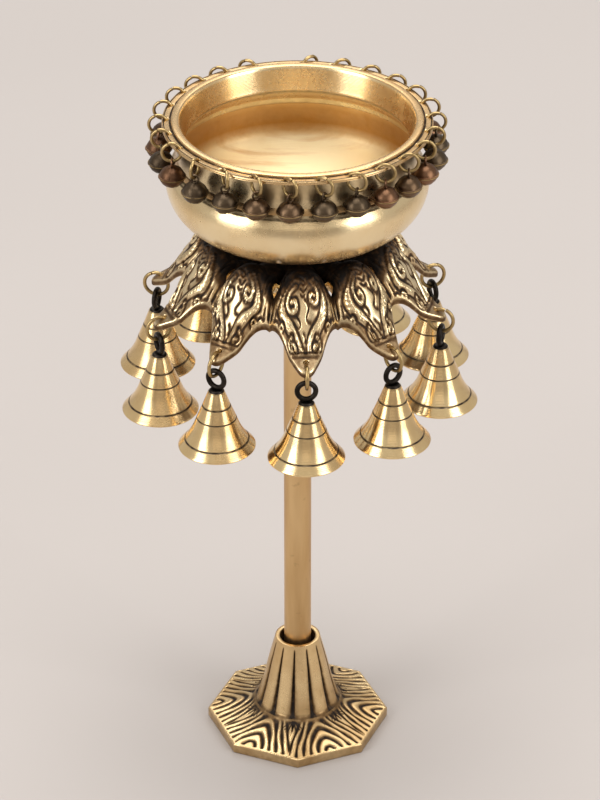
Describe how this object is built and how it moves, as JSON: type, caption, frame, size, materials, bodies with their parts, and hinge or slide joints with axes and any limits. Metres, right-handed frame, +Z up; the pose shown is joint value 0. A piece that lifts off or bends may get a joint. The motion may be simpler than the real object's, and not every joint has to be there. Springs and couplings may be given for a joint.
{
  "type": "standing bowl lamp with bells",
  "caption": "Tall brass lamp stand: octagonal foot, round pole, drooping-petal crown hung with bells, and a round bowl whose flange carries small jingle bells on rings.",
  "frame": {"origin": "centre of the foot's underside, on the pole's axis", "axes": "+Z up along the pole, -Y towards the front corner of the octagonal foot"},
  "size_m": [0.2048, 0.2102, 0.4065],
  "materials": {
    "brass": "polished, light yellow",
    "antique_brass": "cast relief, raised parts polished, recesses darkened",
    "dark_brass": "dark oxidised",
    "steel": "plain"
  },
  "bodies": {
    "stand": {"base": "antique_brass", "pole": "brass", "tie_bolt": "steel", "crown": "antique_brass", "bowl": "brass"},
    "ring_01": {"crown_ring_01": "brass"},
    "bell_01": {"bell_01": "brass"},
    "clapper_01": {"clapper_01": "steel"},
    "ring_02": {"crown_ring_02": "brass"},
    "bell_02": {"bell_02": "brass"},
    "clapper_02": {"clapper_02": "steel"},
    "ring_03": {"crown_ring_03": "brass"},
    "bell_03": {"bell_03": "brass"},
    "clapper_03": {"clapper_03": "steel"},
    "ring_04": {"crown_ring_04": "brass"},
    "bell_04": {"bell_04": "brass"},
    "clapper_04": {"clapper_04": "steel"},
    "ring_05": {"crown_ring_05": "brass"},
    "bell_05": {"bell_05": "brass"},
    "clapper_05": {"clapper_05": "steel"},
    "ring_06": {"crown_ring_06": "brass"},
    "bell_06": {"bell_06": "brass"},
    "clapper_06": {"clapper_06": "steel"},
    "ring_07": {"crown_ring_07": "brass"},
    "bell_07": {"bell_07": "brass"},
    "clapper_07": {"clapper_07": "steel"},
    "ring_08": {"crown_ring_08": "brass"},
    "bell_08": {"bell_08": "brass"},
    "clapper_08": {"clapper_08": "steel"},
    "ring_09": {"crown_ring_09": "brass"},
    "bell_09": {"bell_09": "brass"},
    "clapper_09": {"clapper_09": "steel"},
    "ring_10": {"crown_ring_10": "brass"},
    "bell_10": {"bell_10": "brass"},
    "clapper_10": {"clapper_10": "steel"},
    "jingle_01": {"ghungroo_01": "dark_brass"},
    "jingle_02": {"ghungroo_02": "dark_brass"},
    "jingle_03": {"ghungroo_03": "dark_brass"},
    "jingle_04": {"ghungroo_04": "dark_brass"},
    "jingle_05": {"ghungroo_05": "dark_brass"},
    "jingle_06": {"ghungroo_06": "dark_brass"},
    "jingle_07": {"ghungroo_07": "dark_brass"},
    "jingle_08": {"ghungroo_08": "dark_brass"},
    "jingle_09": {"ghungroo_09": "dark_brass"},
    "jingle_10": {"ghungroo_10": "dark_brass"},
    "jingle_11": {"ghungroo_11": "dark_brass"},
    "jingle_12": {"ghungroo_12": "dark_brass"},
    "jingle_13": {"ghungroo_13": "dark_brass"},
    "jingle_14": {"ghungroo_14": "dark_brass"},
    "jingle_15": {"ghungroo_15": "dark_brass"},
    "jingle_16": {"ghungroo_16": "dark_brass"},
    "jingle_17": {"ghungroo_17": "dark_brass"},
    "jingle_18": {"ghungroo_18": "dark_brass"},
    "jingle_19": {"ghungroo_19": "dark_brass"},
    "jingle_20": {"ghungroo_20": "dark_brass"},
    "jingle_21": {"ghungroo_21": "dark_brass"},
    "jingle_22": {"ghungroo_22": "dark_brass"},
    "jingle_23": {"ghungroo_23": "dark_brass"},
    "jingle_24": {"ghungroo_24": "dark_brass"},
    "jingle_25": {"ghungroo_25": "dark_brass"}
  },
  "joints": [
    {"name": "ring_swing_01", "type": "hinge", "parent": "stand", "child": "ring_01", "pos_m": [0.00496, -0.08345, 0.28805], "axis": [0.9982, 0.0593, 0], "range_deg": [-25, 25]},
    {"name": "bell_swing_01", "type": "hinge", "parent": "ring_01", "child": "bell_01", "pos_m": [0.00496, -0.08345, 0.28105], "axis": [0.0593, -0.9982, 0], "range_deg": [-6, 6]},
    {"name": "clapper_swing_01", "type": "hinge", "parent": "bell_01", "child": "clapper_01", "pos_m": [0.00496, -0.08345, 0.2652], "axis": [0.9982, 0.0593, 0], "range_deg": [-18, 18]},
    {"name": "ring_swing_02", "type": "hinge", "parent": "stand", "child": "ring_02", "pos_m": [0.05306, -0.0646, 0.28805], "axis": [-0.7727, -0.6347, 0], "range_deg": [-25, 25]},
    {"name": "bell_swing_02", "type": "hinge", "parent": "ring_02", "child": "bell_02", "pos_m": [0.05306, -0.0646, 0.28105], "axis": [0.6347, -0.7727, 0], "range_deg": [-6, 6]},
    {"name": "clapper_swing_02", "type": "hinge", "parent": "bell_02", "child": "clapper_02", "pos_m": [0.05306, -0.0646, 0.2652], "axis": [0.7727, 0.6347, 0], "range_deg": [-18, 18]},
    {"name": "ring_swing_03", "type": "hinge", "parent": "stand", "child": "ring_03", "pos_m": [0.0809, -0.02107, 0.28805], "axis": [0.2521, 0.9677, 0], "range_deg": [-25, 25]},
    {"name": "bell_swing_03", "type": "hinge", "parent": "ring_03", "child": "bell_03", "pos_m": [0.0809, -0.02107, 0.28105], "axis": [0.9677, -0.2521, 0], "range_deg": [-6, 6]},
    {"name": "clapper_swing_03", "type": "hinge", "parent": "bell_03", "child": "clapper_03", "pos_m": [0.0809, -0.02107, 0.2652], "axis": [0.2521, 0.9677, 0], "range_deg": [-18, 18]},
    {"name": "ring_swing_04", "type": "hinge", "parent": "stand", "child": "ring_04", "pos_m": [0.07784, 0.0305, 0.28805], "axis": [0.3649, -0.9311, 0], "range_deg": [-25, 25]},
    {"name": "bell_swing_04", "type": "hinge", "parent": "ring_04", "child": "bell_04", "pos_m": [0.07784, 0.0305, 0.28105], "axis": [0.9311, 0.3649, 0], "range_deg": [-6, 6]},
    {"name": "clapper_swing_04", "type": "hinge", "parent": "bell_04", "child": "clapper_04", "pos_m": [0.07784, 0.0305, 0.2652], "axis": [-0.3649, 0.9311, 0], "range_deg": [-18, 18]},
    {"name": "ring_swing_05", "type": "hinge", "parent": "stand", "child": "ring_05", "pos_m": [0.04504, 0.07043, 0.28805], "axis": [-0.8425, 0.5388, 0], "range_deg": [-25, 25]},
    {"name": "bell_swing_05", "type": "hinge", "parent": "ring_05", "child": "bell_05", "pos_m": [0.04504, 0.07043, 0.28105], "axis": [0.5388, 0.8425, 0], "range_deg": [-6, 6]},
    {"name": "clapper_swing_05", "type": "hinge", "parent": "bell_05", "child": "clapper_05", "pos_m": [0.04504, 0.07043, 0.2652], "axis": [-0.8425, 0.5388, 0], "range_deg": [-18, 18]},
    {"name": "ring_swing_06", "type": "hinge", "parent": "stand", "child": "ring_06", "pos_m": [-0.00496, 0.08345, 0.28805], "axis": [0.9982, 0.0593, 0], "range_deg": [-25, 25]},
    {"name": "bell_swing_06", "type": "hinge", "parent": "ring_06", "child": "bell_06", "pos_m": [-0.00496, 0.08345, 0.28105], "axis": [-0.0593, 0.9982, 0], "range_deg": [-6, 6]},
    {"name": "clapper_swing_06", "type": "hinge", "parent": "bell_06", "child": "clapper_06", "pos_m": [-0.00496, 0.08345, 0.2652], "axis": [-0.9982, -0.0593, 0], "range_deg": [-18, 18]},
    {"name": "ring_swing_07", "type": "hinge", "parent": "stand", "child": "ring_07", "pos_m": [-0.05306, 0.0646, 0.28805], "axis": [-0.7727, -0.6347, 0], "range_deg": [-25, 25]},
    {"name": "bell_swing_07", "type": "hinge", "parent": "ring_07", "child": "bell_07", "pos_m": [-0.05306, 0.0646, 0.28105], "axis": [-0.6347, 0.7727, 0], "range_deg": [-6, 6]},
    {"name": "clapper_swing_07", "type": "hinge", "parent": "bell_07", "child": "clapper_07", "pos_m": [-0.05306, 0.0646, 0.2652], "axis": [-0.7727, -0.6347, 0], "range_deg": [-18, 18]},
    {"name": "ring_swing_08", "type": "hinge", "parent": "stand", "child": "ring_08", "pos_m": [-0.0809, 0.02107, 0.28805], "axis": [0.2521, 0.9677, 0], "range_deg": [-25, 25]},
    {"name": "bell_swing_08", "type": "hinge", "parent": "ring_08", "child": "bell_08", "pos_m": [-0.0809, 0.02107, 0.28105], "axis": [-0.9677, 0.2521, 0], "range_deg": [-6, 6]},
    {"name": "clapper_swing_08", "type": "hinge", "parent": "bell_08", "child": "clapper_08", "pos_m": [-0.0809, 0.02107, 0.2652], "axis": [-0.2521, -0.9677, 0], "range_deg": [-18, 18]},
    {"name": "ring_swing_09", "type": "hinge", "parent": "stand", "child": "ring_09", "pos_m": [-0.07784, -0.0305, 0.28805], "axis": [0.3649, -0.9311, 0], "range_deg": [-25, 25]},
    {"name": "bell_swing_09", "type": "hinge", "parent": "ring_09", "child": "bell_09", "pos_m": [-0.07784, -0.0305, 0.28105], "axis": [-0.9311, -0.3649, 0], "range_deg": [-6, 6]},
    {"name": "clapper_swing_09", "type": "hinge", "parent": "bell_09", "child": "clapper_09", "pos_m": [-0.07784, -0.0305, 0.2652], "axis": [0.3649, -0.9311, 0], "range_deg": [-18, 18]},
    {"name": "ring_swing_10", "type": "hinge", "parent": "stand", "child": "ring_10", "pos_m": [-0.04504, -0.07043, 0.28805], "axis": [-0.8425, 0.5388, 0], "range_deg": [-25, 25]},
    {"name": "bell_swing_10", "type": "hinge", "parent": "ring_10", "child": "bell_10", "pos_m": [-0.04504, -0.07043, 0.28105], "axis": [-0.5388, -0.8425, 0], "range_deg": [-6, 6]},
    {"name": "clapper_swing_10", "type": "hinge", "parent": "bell_10", "child": "clapper_10", "pos_m": [-0.04504, -0.07043, 0.2652], "axis": [0.8425, -0.5388, 0], "range_deg": [-18, 18]},
    {"name": "jingle_swing_01", "type": "hinge", "parent": "stand", "child": "jingle_01", "pos_m": [0.00697, 0.07507, 0.4005], "axis": [0.6088, -0.7934, 0], "range_deg": [-2, 14]},
    {"name": "jingle_swing_02", "type": "hinge", "parent": "stand", "child": "jingle_02", "pos_m": [0.02505, 0.07111, 0.4005], "axis": [0.3971, -0.9178, 0], "range_deg": [-2, 14]},
    {"name": "jingle_swing_03", "type": "hinge", "parent": "stand", "child": "jingle_03", "pos_m": [0.04162, 0.06286, 0.4005], "axis": [0.1616, -0.9869, 0], "range_deg": [-2, 14]},
    {"name": "jingle_swing_04", "type": "hinge", "parent": "stand", "child": "jingle_04", "pos_m": [0.0557, 0.05123, 0.4005], "axis": [0, -1, 0], "range_deg": [-2, 14]},
    {"name": "jingle_swing_05", "type": "hinge", "parent": "stand", "child": "jingle_05", "pos_m": [0.06664, 0.03729, 0.4005], "axis": [0, -1, 0], "range_deg": [-2, 14]},
    {"name": "jingle_swing_06", "type": "hinge", "parent": "stand", "child": "jingle_06", "pos_m": [0.07387, 0.02111, 0.4005], "axis": [0, -1, 0], "range_deg": [-2, 14]},
    {"name": "jingle_swing_07", "type": "hinge", "parent": "stand", "child": "jingle_07", "pos_m": [0.07693, 0.00365, 0.4005], "axis": [0, -1, 0], "range_deg": [-2, 14]},
    {"name": "jingle_swing_08", "type": "hinge", "parent": "stand", "child": "jingle_08", "pos_m": [0.07565, -0.01402, 0.4005], "axis": [0, -1, 0], "range_deg": [-2, 14]},
    {"name": "jingle_swing_09", "type": "hinge", "parent": "stand", "child": "jingle_09", "pos_m": [0.0701, -0.03086, 0.4005], "axis": [0, -1, 0], "range_deg": [-2, 14]},
    {"name": "jingle_swing_10", "type": "hinge", "parent": "stand", "child": "jingle_10", "pos_m": [0.06061, -0.04583, 0.4005], "axis": [0, -1, 0], "range_deg": [-2, 14]},
    {"name": "jingle_swing_11", "type": "hinge", "parent": "stand", "child": "jingle_11", "pos_m": [0.04776, -0.05833, 0.4005], "axis": [-0.061, -0.9981, 0], "range_deg": [-2, 14]},
    {"name": "jingle_swing_12", "type": "hinge", "parent": "stand", "child": "jingle_12", "pos_m": [0.03211, -0.06821, 0.4005], "axis": [-0.3024, -0.9532, 0], "range_deg": [-2, 14]},
    {"name": "jingle_swing_13", "type": "hinge", "parent": "stand", "child": "jingle_13", "pos_m": [0.01452, -0.07398, 0.4005], "axis": [-0.5255, -0.8508, 0], "range_deg": [-2, 14]},
    {"name": "jingle_swing_14", "type": "hinge", "parent": "stand", "child": "jingle_14", "pos_m": [-0.00394, -0.07529, 0.4005], "axis": [-0.7169, -0.6972, 0], "range_deg": [-2, 14]},
    {"name": "jingle_swing_15", "type": "hinge", "parent": "stand", "child": "jingle_15", "pos_m": [-0.02216, -0.07206, 0.4005], "axis": [-0.8652, -0.5015, 0], "range_deg": [-2, 14]},
    {"name": "jingle_swing_16", "type": "hinge", "parent": "stand", "child": "jingle_16", "pos_m": [-0.03905, -0.06449, 0.4005], "axis": [-0.9613, -0.2756, 0], "range_deg": [-2, 14]},
    {"name": "jingle_swing_17", "type": "hinge", "parent": "stand", "child": "jingle_17", "pos_m": [-0.05571, -0.05261, 0.4005], "axis": [-0.9122, 0.4097, 0], "range_deg": [-2, 14]},
    {"name": "jingle_swing_18", "type": "hinge", "parent": "stand", "child": "jingle_18", "pos_m": [-0.06869, -0.03367, 0.4005], "axis": [0, 1, 0], "range_deg": [-2, 14]},
    {"name": "jingle_swing_19", "type": "hinge", "parent": "stand", "child": "jingle_19", "pos_m": [-0.07497, -0.0171, 0.4005], "axis": [0, 1, 0], "range_deg": [-2, 14]},
    {"name": "jingle_swing_20", "type": "hinge", "parent": "stand", "child": "jingle_20", "pos_m": [-0.07702, 0.0005, 0.4005], "axis": [0, 1, 0], "range_deg": [-2, 14]},
    {"name": "jingle_swing_21", "type": "hinge", "parent": "stand", "child": "jingle_21", "pos_m": [-0.07472, 0.01808, 0.4005], "axis": [0, 1, 0], "range_deg": [-2, 14]},
    {"name": "jingle_swing_22", "type": "hinge", "parent": "stand", "child": "jingle_22", "pos_m": [-0.06821, 0.03456, 0.4005], "axis": [0, 1, 0], "range_deg": [-2, 14]},
    {"name": "jingle_swing_23", "type": "hinge", "parent": "stand", "child": "jingle_23", "pos_m": [-0.05788, 0.04896, 0.4005], "axis": [0, 1, 0], "range_deg": [-2, 14]},
    {"name": "jingle_swing_24", "type": "hinge", "parent": "stand", "child": "jingle_24", "pos_m": [-0.04432, 0.06098, 0.4005], "axis": [0.1184, 0.993, 0], "range_deg": [-2, 14]},
    {"name": "jingle_swing_25", "type": "hinge", "parent": "stand", "child": "jingle_25", "pos_m": [-0.02813, 0.06994, 0.4005], "axis": [0.3567, 0.9342, 0], "range_deg": [-2, 14]}
  ]
}
